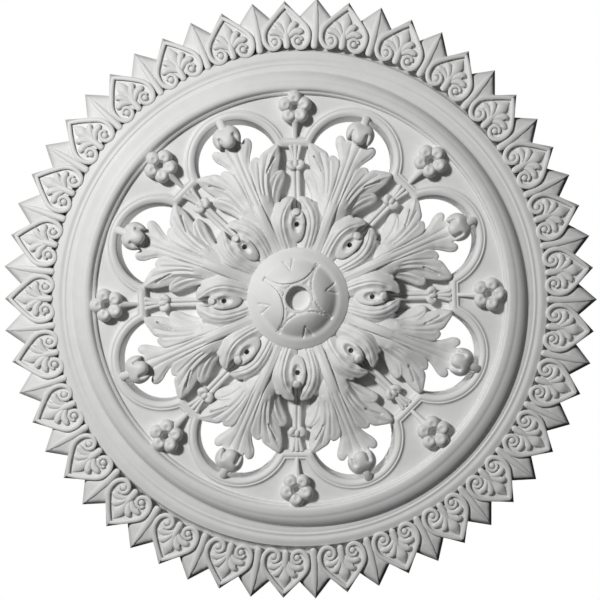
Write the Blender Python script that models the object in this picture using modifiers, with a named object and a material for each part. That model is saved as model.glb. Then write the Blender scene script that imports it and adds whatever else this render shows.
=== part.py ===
"""A round moulded ceiling rose, face down as it hangs: its flat back lies at z = 0 and faces up."""

import math

import bmesh
import bpy
import numpy as np
from mathutils import Vector
from mathutils.geometry import delaunay_2d_cdt

for old in list(bpy.data.objects):
    bpy.data.objects.remove(old)

# Driving sizes, in metres and degrees
outer_radius = 0.420
sight = 1.5  # widths below were read from the front at this distance, so nearer forms are drawn smaller
unit = outer_radius / 298.5  # widths and radii are counted in these
tooth_pairs = 29
tooth_turn = 93.0
# The toothed edge isn't quite round: it stands further out near these angles, by these amounts
edge_turn, edge_oval, edge_square = 70.0, 2.4, 1.8
pattern_shift = (-1.9, 0.5)  # the cast pattern sits this far off the ring's centre, in units
# The hand-set spokes: where each leaf and each rod stands, in degrees from +X
leaf_spokes = (24.0, 69.2, 114.0, 159.2, 204.0, 246.9, 291.4, 338.7)
rod_spokes = (1.3, 46.0, 91.0, 136.1, 182.0, 226.2, 269.6, 315.4)
arch_radius, arch_centre = 42.3, 149.0
bar_inner, bar_width = 151.5, 9.4
stub_bite = 2.2  # the stub at a leaf's tip runs this far into the arch

plate_z = 0.031
ground_z = 0.025
rim_z = 0.0365
crest_z = 0.0435
leaf_floor_z = 0.020

# Facet counts
ring_steps, boss_steps, arch_steps = 58, 24, 7

# The lathe-turned rings, from the back's edge inwards: radius in units, height above the back in metres
ring_profile = [
    (266.0, 0.0), (266.0, 0.0070), (253.4, 0.0080), (253.4, 0.0200), (238.4, 0.0262), (236.6, 0.0286), (234.6, 0.0262), (229.4, 0.0270),
    (222.5, 0.0370), (216.0, 0.0418), (211.0, crest_z), (203.5, plate_z),
]

# The moulded rim round the openings: distance outside its inner edge in units, and height
rim_profile = [(-1.2, 0.0), (0.0, 0.0335), (1.6, rim_z), (5.4, 0.0362), (bar_width - 0.2, 0.0334),
               (bar_width, 0.0)]

# The boss's flat rim, then the star's surface up to the middle
boss_profile = [
    (54.0, 0.0200), (54.0, 0.0520), (51.5, 0.0565), (48.5, 0.0605), (44.5, 0.0645), (40.5, 0.0655),
    (31.0, 0.0725), (21.0, 0.0785), (15.0, 0.0803),
]
boss_dome = [(15.0, 0.0842), (20.0, 0.0832), (26.0, 0.0802), (32.0, 0.0755), (37.0, 0.0702), (40.8, 0.0668)]


def spread(z):
    return unit * (sight - z) / sight


def turned(points, angle):
    """Working points (x, y across the face, z towards the room) turned about the axis and laid face down."""
    c, s = math.cos(math.radians(angle)), math.sin(math.radians(angle))
    return [Vector((x * c - y * s, -(x * s + y * c), -z)) for x, y, z in points]


def place(points, angle, shift=(0.0, 0.0)):
    """Unit widths at a height made metres, on the spoke at this angle from +X, moved as a whole by a shift."""
    laid = turned([(x * spread(z), y * spread(z), z) for x, y, z in points], angle - 90)
    return [p + Vector((shift[0] * unit, -shift[1] * unit, 0.0)) for p in laid]


def new_object(name, bm, folder):
    bmesh.ops.remove_doubles(bm, verts=bm.verts, dist=1e-6)
    bmesh.ops.recalc_face_normals(bm, faces=bm.faces)
    mesh = bpy.data.meshes.new(name)
    bm.to_mesh(mesh)
    bm.free()
    made = bpy.data.objects.new(name, mesh)
    folder.objects.link(made)
    return made


def folder(name):
    made = bpy.data.collections.new(name)
    bpy.context.scene.collection.children.link(made)
    return made


part = folder("ceiling_rose")
helpers = folder("ceiling_rose_helpers")


def helper(name, bm):
    made = new_object(name, bm, helpers)
    made.hide_render = True
    made.display_type = "WIRE"
    return made


def revolved(name, profile, steps, collection, middle, shift=(0.0, 0.0)):
    """A closed turning. The profile runs from the back's edge to the face and in to the axis."""
    bm = bmesh.new()
    radii = [(0.0, profile[0][1])] + list(profile) + [(0.0, middle)]
    points = [bm.verts.new((r * spread(z), 0.0, -z)) for r, z in radii]
    for a, b in zip(points, points[1:]):
        bm.edges.new((a, b))
    mesh = bpy.data.meshes.new(name)
    bm.to_mesh(mesh)
    bm.free()
    made = bpy.data.objects.new(name, mesh)
    collection.objects.link(made)
    made.location = (shift[0] * unit, -shift[1] * unit, 0.0)
    screw = made.modifiers.new("turning", "SCREW")
    screw.axis = "Z"
    screw.steps = screw.render_steps = steps
    screw.use_merge_vertices = True
    screw.merge_threshold = 0.00005
    screw.use_smooth_shade = False
    return made


def inset(outline, width):
    """The outline moved inwards by a width, anticlockwise outlines only."""
    moved = []
    count = len(outline)
    for i, here in enumerate(outline):
        before, after = Vector(outline[i - 1]), Vector(outline[(i + 1) % count])
        here = Vector(here)
        a, b = (here - before).normalized(), (after - here).normalized()
        side = Vector((-a.y, a.x)) + Vector((-b.y, b.x))
        side.normalize()
        lean = max(0.45, side.dot(Vector((-a.y, a.x))))
        moved.append(here + side * width / lean)
    return [(p.x, p.y) for p in moved]


def carved(bm, outline, foot, inner, lines, angle, shift=pattern_shift):
    """Adds one closed raised piece: a top through the outline, inner loops and lines, and walls to its foot."""
    points, edges = [], []

    def add(chain, closed):
        start = len(points)
        points.extend(chain)
        last = len(chain) if closed else len(chain) - 1
        edges.extend((start + i, start + (i + 1) % len(chain)) for i in range(last))

    add(outline, True)
    for loop in inner:
        add(loop, True)
    for line in lines:
        add(line, False)
    flat = [Vector((x, y)) for x, y, z in points]
    found, _, faces, origins, _, _ = delaunay_2d_cdt(flat, edges, [], 1, 1e-5)
    top = []
    for place_in, ids in zip(found, origins):
        top.append((place_in.x, place_in.y, points[ids[0]][2]))
    where = {i: n for n, ids in enumerate(origins) for i in ids}
    made = [bm.verts.new(p) for p in place(top, angle, shift)]
    base = [bm.verts.new(p) for p in place(foot, angle, shift)]
    for face in faces:
        bm.faces.new([made[i] for i in face])
    count = len(outline)
    for i in range(count):
        j = (i + 1) % count
        bm.faces.new((made[where[i]], base[i], base[j], made[where[j]]))
    bm.faces.new(base[::-1])


def between(value, table):
    return float(np.interp(value, [a for a, _ in table], [b for _, b in table]))


# The plate with its rings, lathe-turned
rose = revolved("ceiling_rose", ring_profile, ring_steps, part, plate_z)


def corner(rod, arch, radius, bar):
    """Where an arch's circle meets a bar's line, in the arch's own frame: x to the right, y outwards."""
    apart = math.radians((rod - arch + 180) % 360 - 180)
    out, along = Vector((-math.sin(apart), math.cos(apart))), Vector((math.cos(apart), math.sin(apart)))
    centre = Vector((0.0, arch_centre))
    rise = bar - centre.dot(out)
    half = math.sqrt(radius ** 2 - rise ** 2)
    return centre + out * rise - along * math.copysign(half, apart)


def foil(offset, z, seen=None):
    """The eight-lobed line round the openings and along the octagon's bars, outside its inner edge by an offset."""
    radius, bar = arch_radius + offset, bar_inner + offset
    scale = spread(z if seen is None else seen) / spread(z)
    line = []
    for k, arch in enumerate(leaf_spokes):
        ends = [corner(rod, arch, radius, bar) for rod in (rod_spokes[k], rod_spokes[(k + 1) % 8])]
        first, last = [math.atan2(p.y - arch_centre, p.x) % (2 * math.pi) for p in ends]
        first -= 2 * math.pi if first > math.pi else 0.0
        chain = []
        for i in range(arch_steps + 1):
            a = first + (last - first) * i / arch_steps
            x, y = radius * math.cos(a), arch_centre + radius * math.sin(a)
            chain.append((x * scale, y * scale, z))
        line.extend(place(chain, arch, pattern_shift))
    return line


def foil_rows(bm, profile, seen=None):
    return [[bm.verts.new(p) for p in foil(offset, z, seen if z < 0.01 else None)] for offset, z in profile]


def loft(bm, rows, closed):
    count = len(rows[0])
    pairs = list(zip(rows, rows[1:])) + ([(rows[-1], rows[0])] if closed else [])
    for low, high in pairs:
        for i in range(count):
            j = (i + 1) % count
            bm.faces.new((low[i], low[j], high[j], high[i]))


# Everything inside the eight-lobed line is cut from the plate
bm = bmesh.new()
rows = foil_rows(bm, [(4.0, -0.010), (4.0, 0.060)])
loft(bm, rows, False)
bm.faces.new(rows[0])
bm.faces.new(rows[1])
piercing = helper("piercing", bm)

# The moulded rim round it
bm = bmesh.new()
rows = foil_rows(bm, rim_profile, 0.0335)
loft(bm, rows, True)
rim = helper("rim", bm)

# The lower eight-armed ground that carries the leaves, cut back behind each of them
bar_edge = [(20.1, bar_inner - 0.8), (17.0, bar_inner + 2.1), (-17.0, bar_inner + 2.1), (-20.1, bar_inner - 0.8)]
leaf_edge = [(24.0, 141.0), (14.0, 134.5), (5.0, 131.5), (-5.0, 131.5), (-14.0, 134.5), (-24.0, 141.0)]
bm = bmesh.new()
ground_corners = []
for rod, leaf in zip(rod_spokes, leaf_spokes):
    for edge, spoke in ((bar_edge, rod), (leaf_edge, leaf)):
        ground_corners.extend(place([(x, y, ground_z) for x, y in edge], spoke, pattern_shift))
low = [bm.verts.new((p.x, p.y, 0.0)) for p in ground_corners]
high = [bm.verts.new(p) for p in ground_corners]
loft(bm, [low, high], False)
bm.faces.new(low)
bm.faces.new(high)
ground = helper("ground", bm)

# Big leaf: right half of its outline from the stub at the arch down to the boss, with each point's height
leaf_half = [
    (3.6, arch_centre + arch_radius + stub_bite, 0.0345), (4.4, 187.0, 0.0420), (12.0, 184.0, 0.0450),
    (14.2, 177.0, 0.0460), (11.6, 168.5, 0.0440), (17.0, 168.5, 0.0400), (20.8, 162.5, 0.0385),
    (6.3, 138.0, 0.0430), (15.5, 145.5, 0.0420), (22.5, 143.0, 0.0420), (29.0, 148.5, 0.0420),
    (41.5, 148.5, 0.0400), (26.0, 126.0, 0.0430), (36.5, 121.0, 0.0390), (29.0, 110.5, 0.0400),
    (12.0, 95.0, 0.0540), (15.5, 49.0, 0.0535),
]
leaf_ridges = [
    [(0.0, leaf_half[0][1] - 0.5, 0.0360), (0.0, 183.0, 0.0520), (0.0, 174.0, 0.0570), (0.0, 164.0, 0.0440),
     (0.0, 150.0, 0.0430), (0.0, 120.0, 0.0540), (0.0, 102.0, 0.0610), (0.0, 88.0, 0.0640), (0.0, 50.0, 0.0560)],
    [(7.5, 181.0, 0.0520), (8.5, 174.0, 0.0530)],
    [(6.0, 118.0, 0.0550), (14.0, 134.0, 0.0480), (33.0, 145.5, 0.0450)],
    [(18.0, 114.0, 0.0480), (31.0, 118.5, 0.0430)],
]


def both_sides(half, outline):
    """The left side added: an outline closes through it, a ridge off the axis is doubled."""
    flipped = [(-x, y, z) for x, y, z in half]
    if outline:
        return half[::-1] + flipped
    return [half] if half[0][0] == 0 else [half, flipped]


def plumb(outline, floor):
    """The outline's foot straight behind it on a floor."""
    return [(x * spread(z) / spread(floor), y * spread(z) / spread(floor), floor) for x, y, z in outline]


def leaves(name, half, ridges, floor, spokes):
    bm = bmesh.new()
    outline = both_sides(half, True)
    lines = [line for ridge in ridges for line in both_sides(ridge, False)]
    for spoke in spokes:
        carved(bm, outline, plumb(outline, floor), [], lines, spoke)
    return helper(name, bm)


big_leaves = leaves("big_leaves", leaf_half, leaf_ridges, leaf_floor_z, leaf_spokes)

# Small leaf in front of each rod's foot
small_half = [
    (1.5, 91.0, 0.0560), (5.0, 103.5, 0.0580), (14.5, 101.0, 0.0550), (18.0, 96.5, 0.0550), (22.0, 98.0, 0.0530),
    (27.5, 84.0, 0.0530), (15.0, 47.0, 0.0535),
]
small_ridges = [[(11.5, 94.0, 0.0620), (13.0, 76.0, 0.0660), (10.0, 52.0, 0.0590)]]
small_leaves = leaves("small_leaves", small_half, small_ridges, 0.0195, rod_spokes)

# Teardrop eyelet on the small leaf, with its pit
eyelet_half = [(0.0, 90.0, 0.0640), (9.3, 75.0, 0.0660), (8.4, 61.0, 0.0610), (0.0, 54.0, 0.0570)]
crown_half = [(0.0, 86.0, 0.0680), (6.2, 74.0, 0.0695), (5.6, 62.0, 0.0655), (0.0, 58.5, 0.0625)]
pit_half = [(0.0, 81.0, 0.0655), (3.8, 72.0, 0.0650), (0.0, 62.0, 0.0610)]


def ring_of(half):
    inner = [p for p in half if p[0] > 0]
    return half[::-1][:1] + inner[::-1] + half[:1] + [(-x, y, z) for x, y, z in inner]


bm = bmesh.new()
for spoke in rod_spokes:
    outline = ring_of(eyelet_half)
    pit = [(0.0, 76.0, 0.0550), (0.0, 71.0, 0.0550)]
    carved(bm, outline, plumb(outline, 0.0450), [ring_of(crown_half), ring_of(pit_half)], [pit], spoke)
eyelets = helper("eyelets", bm)

# Reeded rod with its knotted bead, from under the small leaf to the bar
rod_stations = [(84.0, 4.6, 0.0350), (126.5, 5.0, 0.0350), (130.0, 8.6, 0.0410), (138.5, 8.2, 0.0420),
                (142.0, 4.8, 0.0355), (bar_inner + 2.0, 6.6, 0.0350)]
bm = bmesh.new()
for spoke in rod_spokes:
    rows = []
    for y, half, z in rod_stations:
        section = [(-half, y, 0.0190), (-half, y, z - 0.0050), (-half * 0.45, y, z), (half * 0.45, y, z),
                   (half, y, z - 0.0050), (half, y, 0.0190)]
        rows.append([bm.verts.new(p) for p in place(section, spoke, pattern_shift)])
    loft(bm, rows, False)
    bm.faces.new(rows[0])
    bm.faces.new(rows[-1])
rods = helper("rods", bm)

# Five-petalled flower on a short stem, above each bar
flower_centre, flower_radius = 190.5, 16.0
bm = bmesh.new()
for spoke in rod_spokes:
    outline, crown, well = [], [], []
    for i in range(15):
        a = math.radians(90 + 24 * i + 12)
        r = flower_radius * (0.66 if i % 3 == 1 else 1.0)
        z = 0.0400 if i % 3 == 1 else 0.0440
        outline.append((r * math.cos(a), flower_centre + r * math.sin(a), z))
        r = 0.36 * flower_radius if i % 3 == 1 else 0.66 * flower_radius
        z = 0.0425 if i % 3 == 1 else 0.0510
        crown.append((r * math.cos(a), flower_centre + r * math.sin(a), z))
    for i in range(5):
        a = math.radians(90 + 36 + 72 * i)
        well.append((3.0 * math.cos(a), flower_centre + 3.0 * math.sin(a), 0.0420))
    carved(bm, outline, plumb(outline, 0.0200), [crown, well], [], spoke)
flowers = helper("flowers", bm)

bm = bmesh.new()
for spoke in rod_spokes:
    low, high = bar_inner + 0.8 * bar_width, flower_centre - 0.65 * flower_radius
    outline = [(-1.6, low, 0.0330), (1.6, low, 0.0330), (3.6, high, 0.0400), (-3.6, high, 0.0400)]
    carved(bm, outline, plumb(outline, 0.0210), [], [], spoke)
stems = helper("stems", bm)

# Boss, with a dished star left between four round lobes
boss = revolved("boss", boss_profile, boss_steps, helpers, 0.0803, pattern_shift)
boss.hide_render = True
boss.display_type = "WIRE"

lobe_turns = (105.0, 15.0, -75.0, -165.0)
lobe_reach, lobe_rim = 49.0, 40.8
star_arm = 1.15  # half the width of the star's arms, between two lobes
lobe_radius = lobe_reach * math.sin(math.pi / 4) - star_arm
lobe_crest = 0.7 * lobe_radius


def arc(radius, middle, start, end, count, lift=0.0):
    """Points on a circle round (0, middle), both ends included, laid on the boss's dome or lifted off it."""
    angles = [start + (end - start) * i / (count - 1) for i in range(count)]
    flat = [(radius * math.cos(a), middle + radius * math.sin(a)) for a in angles]
    return [(x, y, between(math.hypot(x, y), boss_dome) + lift) for x, y in flat]


# Each lobe's round inner side runs to where it meets the boss's flat rim
meet_y = (lobe_rim ** 2 + lobe_reach ** 2 - lobe_radius ** 2) / (2 * lobe_reach)
meet_x = math.sqrt(lobe_rim ** 2 - meet_y ** 2)
lobe_end, rim_end = math.atan2(meet_y - lobe_reach, meet_x), math.atan2(meet_y, meet_x)
bm = bmesh.new()
for turn in lobe_turns:
    outline = arc(lobe_radius, lobe_reach, -math.pi - lobe_end, lobe_end, 8)
    outline += arc(lobe_rim, 0.0, rim_end, math.pi - rim_end, 4)[1:-1]
    crest = arc(lobe_crest, lobe_reach, math.radians(-120), math.radians(-60), 3, 0.0012)
    carved(bm, outline, plumb(outline, 0.0600), [], [crest], turn)
lobes = helper("lobes", bm)

recess = revolved("recess", [(11.8, 0.0700), (12.8, 0.1200)], 20, helpers, 0.1200, pattern_shift)
recess.hide_render = True
recess.display_type = "WIRE"

# Palmette teeth: the foot's outline, the raised band, the sunk field and its fan
palmette_half = [(0.0, 298.5), (21.5, 274.0), (25.8, 262.5), (22.0, 251.5), (12.5, 246.5)]
palmette_slope = [(246.0, 0.0255), (262.0, 0.0245), (298.0, 0.0150)]
field_half = [(0.0, 289.5), (17.0, 272.0), (16.5, 256.5)]


def out_of_round(angle):
    turn = math.radians(angle - edge_turn)
    return edge_oval * math.cos(2 * turn) + edge_square * math.cos(4 * turn)


def outwards(points, step):
    """Points moved out along their spoke."""
    return [(x, y + step, z) for x, y, z in points]


def tooth(bm, rim, foot_z, foot, inner, lines, angle):
    """One tooth of the edge, moved with the edge where that is out of round."""
    step = out_of_round(angle)
    base = outwards([(x, y, foot_z) for x, y, z in foot], step)
    carved(bm, outwards(rim, step), base, [outwards(loop, step) for loop in inner],
           [outwards(line, step) for line in lines], angle, (0.0, 0.0))


def whole(half, slope, drop):
    first = [half[0]] if half[0][0] == 0 else []
    side = half[1:] if first else half
    ring = side[::-1] + first + [(-x, y) for x, y in side]
    return [(x, y, between(y, slope) - drop) for x, y in ring]


bm = bmesh.new()
for k in range(tooth_pairs):
    angle = tooth_turn + 360 / tooth_pairs * k
    foot = whole(palmette_half, palmette_slope, 0.0)
    flat = inset([(x, y) for x, y, z in foot], 2.6)
    outline = [(x, y, between(y, palmette_slope)) for x, y in flat]
    band = whole(field_half, palmette_slope, 0.0)
    low = inset([(x, y) for x, y, z in band], 1.0)
    field = [(x, y, between(y, palmette_slope) - 0.0040) for x, y in low]
    rib = [(0.0, y, between(y, palmette_slope) - 0.0005) for y in (285.0, 261.5)]
    tooth(bm, outline, -0.0040, foot, [band, field], [rib], angle)
palmettes = helper("palmettes", bm)

# Spearhead teeth between them, each a ridge running to its point
spear_half = [(0.0, 298.5), (17.0, 279.0), (4.2, 247.5)]
spear_slope = [(247.0, 0.0240), (262.0, 0.0190), (280.0, 0.0150), (298.0, 0.0120)]
bm = bmesh.new()
for k in range(tooth_pairs):
    angle = tooth_turn + 360 / tooth_pairs * (k + 0.5)
    foot = whole(spear_half, spear_slope, 0.0)
    flat = inset([(x, y) for x, y, z in foot], 2.2)
    outline = [(x, y, between(y, spear_slope)) for x, y in flat]
    ridge = [(0.0, 290.0, 0.0165), (0.0, 268.0, 0.0230)]
    tooth(bm, outline, -0.0045, foot, [], [ridge], angle)
spears = helper("spears", bm)

# Everything behind the flat back is cut away
bm = bmesh.new()
bmesh.ops.create_cube(bm, size=1.0)
bmesh.ops.scale(bm, verts=bm.verts, vec=(1.0, 1.0, 0.05))
bmesh.ops.translate(bm, verts=bm.verts, vec=(0.0, 0.0, 0.025))
behind = helper("behind", bm)

for tool, action in ((piercing, "DIFFERENCE"), (rim, "UNION"), (ground, "UNION"), (rods, "UNION"), (flowers, "UNION"),
                     (stems, "UNION"), (big_leaves, "UNION"), (small_leaves, "UNION"), (eyelets, "UNION"),
                     (boss, "UNION"), (lobes, "UNION"), (recess, "DIFFERENCE"), (spears, "UNION"),
                     (palmettes, "UNION"), (behind, "DIFFERENCE")):
    cut = rose.modifiers.new(tool.name, "BOOLEAN")
    cut.object = tool
    cut.operation = action
    cut.solver = "MANIFOLD" if tool is behind else "EXACT"
    cut.use_self = tool in (palmettes, lobes)

white = bpy.data.materials.new("moulded_white")
white.use_nodes = True
shader = white.node_tree.nodes["Principled BSDF"]
shader.inputs["Base Color"].default_value = (0.80, 0.80, 0.79, 1.0)
shader.inputs["Roughness"].default_value = 0.5
rose.data.materials.append(white)
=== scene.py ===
import math

import bmesh
import bpy
import numpy as np
from mathutils import Matrix, Vector
from mathutils.geometry import delaunay_2d_cdt


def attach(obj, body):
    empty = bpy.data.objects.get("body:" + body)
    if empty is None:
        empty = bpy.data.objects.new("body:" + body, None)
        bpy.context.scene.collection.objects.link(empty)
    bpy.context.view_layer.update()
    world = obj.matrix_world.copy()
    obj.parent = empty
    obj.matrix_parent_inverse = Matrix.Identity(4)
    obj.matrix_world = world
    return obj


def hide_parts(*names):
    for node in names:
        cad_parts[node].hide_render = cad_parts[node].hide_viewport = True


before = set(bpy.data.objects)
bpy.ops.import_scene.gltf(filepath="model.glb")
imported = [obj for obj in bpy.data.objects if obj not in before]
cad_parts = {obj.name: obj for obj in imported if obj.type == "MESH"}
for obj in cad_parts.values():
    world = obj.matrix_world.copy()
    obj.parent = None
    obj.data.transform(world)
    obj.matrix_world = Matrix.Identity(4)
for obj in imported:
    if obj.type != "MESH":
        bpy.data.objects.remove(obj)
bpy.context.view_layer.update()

# A round moulded ceiling rose, seen from below. Drawing widths are in units, heights above the back in millimetres
rose = {
    "radius": 0.420,  # to the teeth's tips, in metres
    "tips": 298.5,  # the same radius in drawing units
    "sight": 1.5,  # the drawing's widths were read from this far below the ceiling
    "shift": (-1.9, 0.5),  # the cast pattern sits this far off the ring's centre
    "leafSpokes": (24.0, 69.2, 114.0, 159.2, 204.0, 246.9, 291.4, 338.7),
    "rodSpokes": (1.3, 46.0, 91.0, 136.1, 182.0, 226.2, 269.6, 315.4),
    "plate": 31.0,
}
unit = rose["radius"] / rose["tips"]
mm = 0.001 / unit


def scaleAt(height):  # forms nearer the eye were drawn larger than they are
    return (rose["sight"] - height * unit) / rose["sight"]


def layDown(points):  # drawing units, face towards the room, to metres with the back against the ceiling
    x, y, z = np.array(points, float).T
    near = scaleAt(z) * unit
    return np.column_stack([x * near, -y * near, -z * unit])


# Curves and shells

def smooth(points, count):  # a soft curve through the points, evenly spaced; more columns go along
    p = np.array(points, float)
    p = np.vstack([2 * p[0] - p[1], p, 2 * p[-1] - p[-2]])
    t = np.linspace(0, 1, 16, endpoint=False)[:, None]
    runs = []
    for a, b, c, d in zip(p, p[1:], p[2:], p[3:]):
        runs.append(0.5 * (2 * b + (c - a) * t + (2 * a - 5 * b + 4 * c - d) * t ** 2 + (3 * b - a - 3 * c + d) * t ** 3))
    fine = np.vstack(runs + [p[-2:-1]])
    along = np.concatenate([[0], np.cumsum(np.linalg.norm(np.diff(fine[:, :2], axis=0), axis=1))])
    want = np.linspace(0, along[-1], count)
    return np.column_stack([np.interp(want, along, column) for column in fine.T])


def loft(rows, ends=True, loop=False):  # rows of equal length to one shell
    count = len(rows[0])
    points = np.vstack(rows)
    faces = []
    last = len(rows) if loop else len(rows) - 1
    for r in range(last):
        a, b = r * count, (r + 1) % len(rows) * count
        for i in range(count):
            j = (i + 1) % count
            faces.append((a + i, a + j, b + j, b + i))
    if ends:
        faces.append(tuple(range(count))[::-1])
        faces.append(tuple(range(len(points) - count, len(points))))
    return points, faces


def blade(path, stations, around, crown, keel, tip=1.0):
    # A rounded strip along a path of x, y, height and half width, with a round end
    rows = smooth([(x, y, z * mm, w) for x, y, z, w in path], 90)
    along = np.concatenate([[0], np.cumsum(np.linalg.norm(np.diff(rows[:, :3], axis=0), axis=1))])
    where = along[-1] * (1 - (1 - np.linspace(0, 1, stations)) ** 1.7)
    x, y, z, half = [np.interp(where, along, column) for column in rows.T]
    roundEnd = max(rows[-1, 3] * tip, 0.3)
    left = np.clip((along[-1] - where) / roundEnd, 0, 1)
    half = np.maximum(half * np.sqrt(np.clip(1 - (1 - left) ** 2, 0, 1)), 0.06)
    centre = np.column_stack([x, y, z])
    ahead = np.gradient(centre, axis=0)
    ahead /= np.linalg.norm(ahead, axis=1)[:, None]
    side = np.column_stack([ahead[:, 1], -ahead[:, 0], np.zeros(stations)])
    side /= np.linalg.norm(side, axis=1)[:, None]
    up = np.cross(side, ahead)
    turn = np.linspace(0, 2 * math.pi, around, endpoint=False)
    across, lift = np.cos(turn), np.sin(turn)
    lift = np.where(lift > 0, lift * crown, lift * keel)
    sections = []
    for i in range(stations):
        sections.append(centre[i] + np.outer(across * half[i], side[i]) + np.outer(lift * half[i], up[i]))
    return loft(sections)


def knob(x, y, z, wide, tall, deep, rings=9, around=20):  # an egg-shaped boss, height in millimetres
    rows = []
    for i in range(1, rings):
        a = math.pi * i / rings
        t = np.linspace(0, 2 * math.pi, around, endpoint=False)
        rows.append(np.column_stack([x + wide * math.sin(a) * np.cos(t), y + tall * math.sin(a) * np.sin(t),
                                     np.full(around, z * mm + deep * math.cos(a))]))
    return loft(rows)


def inside(points, loop):  # which points lie in a closed outline
    x, y = points[:, 0][:, None], points[:, 1][:, None]
    a, b = loop, np.roll(loop, -1, axis=0)
    crosses = (a[:, 1] > y) != (b[:, 1] > y)
    rise = np.where(b[:, 1] == a[:, 1], 1e-9, b[:, 1] - a[:, 1])
    return (crosses & (x < a[:, 0] + (y - a[:, 1]) / rise * (b[:, 0] - a[:, 0]))).sum(1) % 2 == 1


def reachTo(points, chain, closed=True):  # how far each point is from a line
    a = np.array(chain)[:, :2]
    b = np.roll(a, -1, axis=0) if closed else a[1:]
    a = a if closed else a[:-1]
    run = b - a
    t = ((points[:, None, :2] - a) * run).sum(2) / np.maximum((run ** 2).sum(1), 1e-12)
    near = a + np.clip(t, 0, 1)[:, :, None] * run
    return np.linalg.norm(points[:, None, :2] - near, axis=2).min(1)


def patch(outline, height, spacing, floor, creases=(), foot=None):
    # A raised piece: an outline filled with fine triangles, lifted by a height rule, with walls down to a floor
    loop = np.array(outline, float)[:, :2]
    low, high = loop.min(0), loop.max(0)
    rise = spacing * math.sqrt(3) / 2
    grid = []
    for j, y in enumerate(np.arange(low[1], high[1], rise)):
        x = np.arange(low[0] + (j % 2) * spacing / 2, high[0], spacing)
        grid.append(np.column_stack([x, np.full(len(x), y)]))
    grid = np.vstack(grid)
    grid = grid[inside(grid, loop)]
    grid = grid[reachTo(grid, loop) > 0.5 * spacing]
    for chain, closed in creases:
        grid = grid[reachTo(grid, chain, closed) > 0.45 * spacing]
    flat, edges = list(loop), [(i, (i + 1) % len(loop)) for i in range(len(loop))]
    for chain, closed in creases:
        start, count = len(flat), len(chain)
        flat.extend(np.array(chain)[:, :2])
        edges.extend((start + i, start + (i + 1) % count) for i in range(count if closed else count - 1))
    flat.extend(grid)
    found, _, faces, origins, _, _ = delaunay_2d_cdt([Vector(p) for p in flat], edges, [], 1, 1e-6)
    top = np.array([(p.x, p.y) for p in found])
    points = np.column_stack([top, height(top) * mm])
    place = {i: n for n, ids in enumerate(origins) for i in ids}
    rim = [place[i] for i in range(len(loop))]
    below = loop if foot is None else np.array(foot, float)[:, :2]
    under = np.column_stack([below, np.full(len(loop), floor * mm)])
    start = len(points)
    faces = [tuple(face) for face in faces]
    for i in range(len(loop)):
        j = (i + 1) % len(loop)
        faces.append((rim[i], start + i, start + j, rim[j]))
    faces.append(tuple(range(start, start + len(loop)))[::-1])
    return np.vstack([points, under]), faces


def bothSides(half):  # the right half of an outline, from tip to foot, and its mirror
    return list(half) + [(-x, *rest) for x, *rest in half if abs(x) > 1e-6][::-1]


def mirrored(paths):
    return [[(side * x, *rest) for x, *rest in path] for path in paths for side in (1, -1)]


def flipped(made):  # the same shell on the other side of the spoke
    points, faces = made
    return points * (-1, 1, 1), [face[::-1] for face in faces]


def through(knots):  # a smooth surface through knots of x, y and height
    knots = np.array(knots, float)
    x, y, z = knots.T

    def apart(a):
        return np.sqrt(((a[:, None, :2] - knots[None, :, :2]) ** 2).sum(2) + 16.0)

    def plane(a):
        return np.column_stack([np.ones(len(a)), a[:, :2]])

    count = len(knots)
    full = np.zeros((count + 3, count + 3))
    full[:count, :count] = apart(knots)
    full[:count, count:] = plane(knots)
    full[count:, :count] = plane(knots).T
    weight = np.linalg.solve(full, np.concatenate([z, np.zeros(3)]))
    return lambda a: apart(a) @ weight[:count] + plane(a) @ weight[count:]


def outlineOf(runs, spacing):  # smooth runs that meet in corners
    line = []
    for run in runs:
        long = np.linalg.norm(np.diff(np.array(run), axis=0), axis=1).sum()
        line.append(smooth(run, max(3, int(long / spacing) + 1))[:-1])
    return np.vstack(line)


def carved(runs, knots, lines, spacing=1.15, floor=22.0, soft=(1.6, 1.5)):
    # A carved lobe: its outline, heights at a few knots, and ridges or grooves as line, height and half width
    loop = outlineOf(runs, spacing * 0.9)
    base = through(knots)
    chains = []
    for line, tall, wide in lines:
        long = np.linalg.norm(np.diff(np.array(line), axis=0), axis=1).sum()
        chains.append((smooth(line, max(4, int(long / spacing))), tall, wide))
    creases = []
    for chain, _, _ in chains:
        kept = inside(chain, loop) & (reachTo(chain, loop) > spacing * 0.6)
        chain = chain[kept]
        if len(chain) > 3:
            creases.append((chain, False))

    def height(points):
        z = base(points)
        for chain, tall, wide in chains:
            d = reachTo(points, chain, False)
            z = z + tall * np.exp(-(d / wide) ** 1.6)
        edge = np.clip(reachTo(points, loop) / soft[0], 0, 1)
        return z - soft[1] * (1 - np.sqrt(1 - (1 - edge) ** 2))

    return patch(loop, height, spacing, floor, creases)


def step(low, high, x):
    t = np.clip((x - low) / (high - low), 0, 1)
    return t * t * (3 - 2 * t)


def table(pairs):  # a height rule read from pairs of place and height
    a, b = zip(*pairs)
    return lambda x: np.interp(x, a, b)


def shell(name, shells):  # one mesh object from several closed shells
    points, faces, start = [], [], 0
    for some, theirs in shells:
        points.append(some)
        faces.extend(tuple(start + i for i in face) for face in theirs)
        start += len(some)
    points = np.vstack(points)
    mesh = bpy.data.meshes.new(name)
    mesh.from_pydata(layDown(points).tolist(), [], faces)
    bm = bmesh.new()
    bm.from_mesh(mesh)
    bmesh.ops.remove_doubles(bm, verts=bm.verts, dist=1e-7)
    bmesh.ops.recalc_face_normals(bm, faces=bm.faces)
    for face in bm.faces:
        face.smooth = True
    bm.to_mesh(mesh)
    bm.free()
    mesh.set_sharp_from_angle(angle=math.radians(38))
    made = bpy.data.objects.new(name, mesh)
    bpy.context.scene.collection.objects.link(made)
    return made


# Node trees, for the arrays and for the finish

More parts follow.
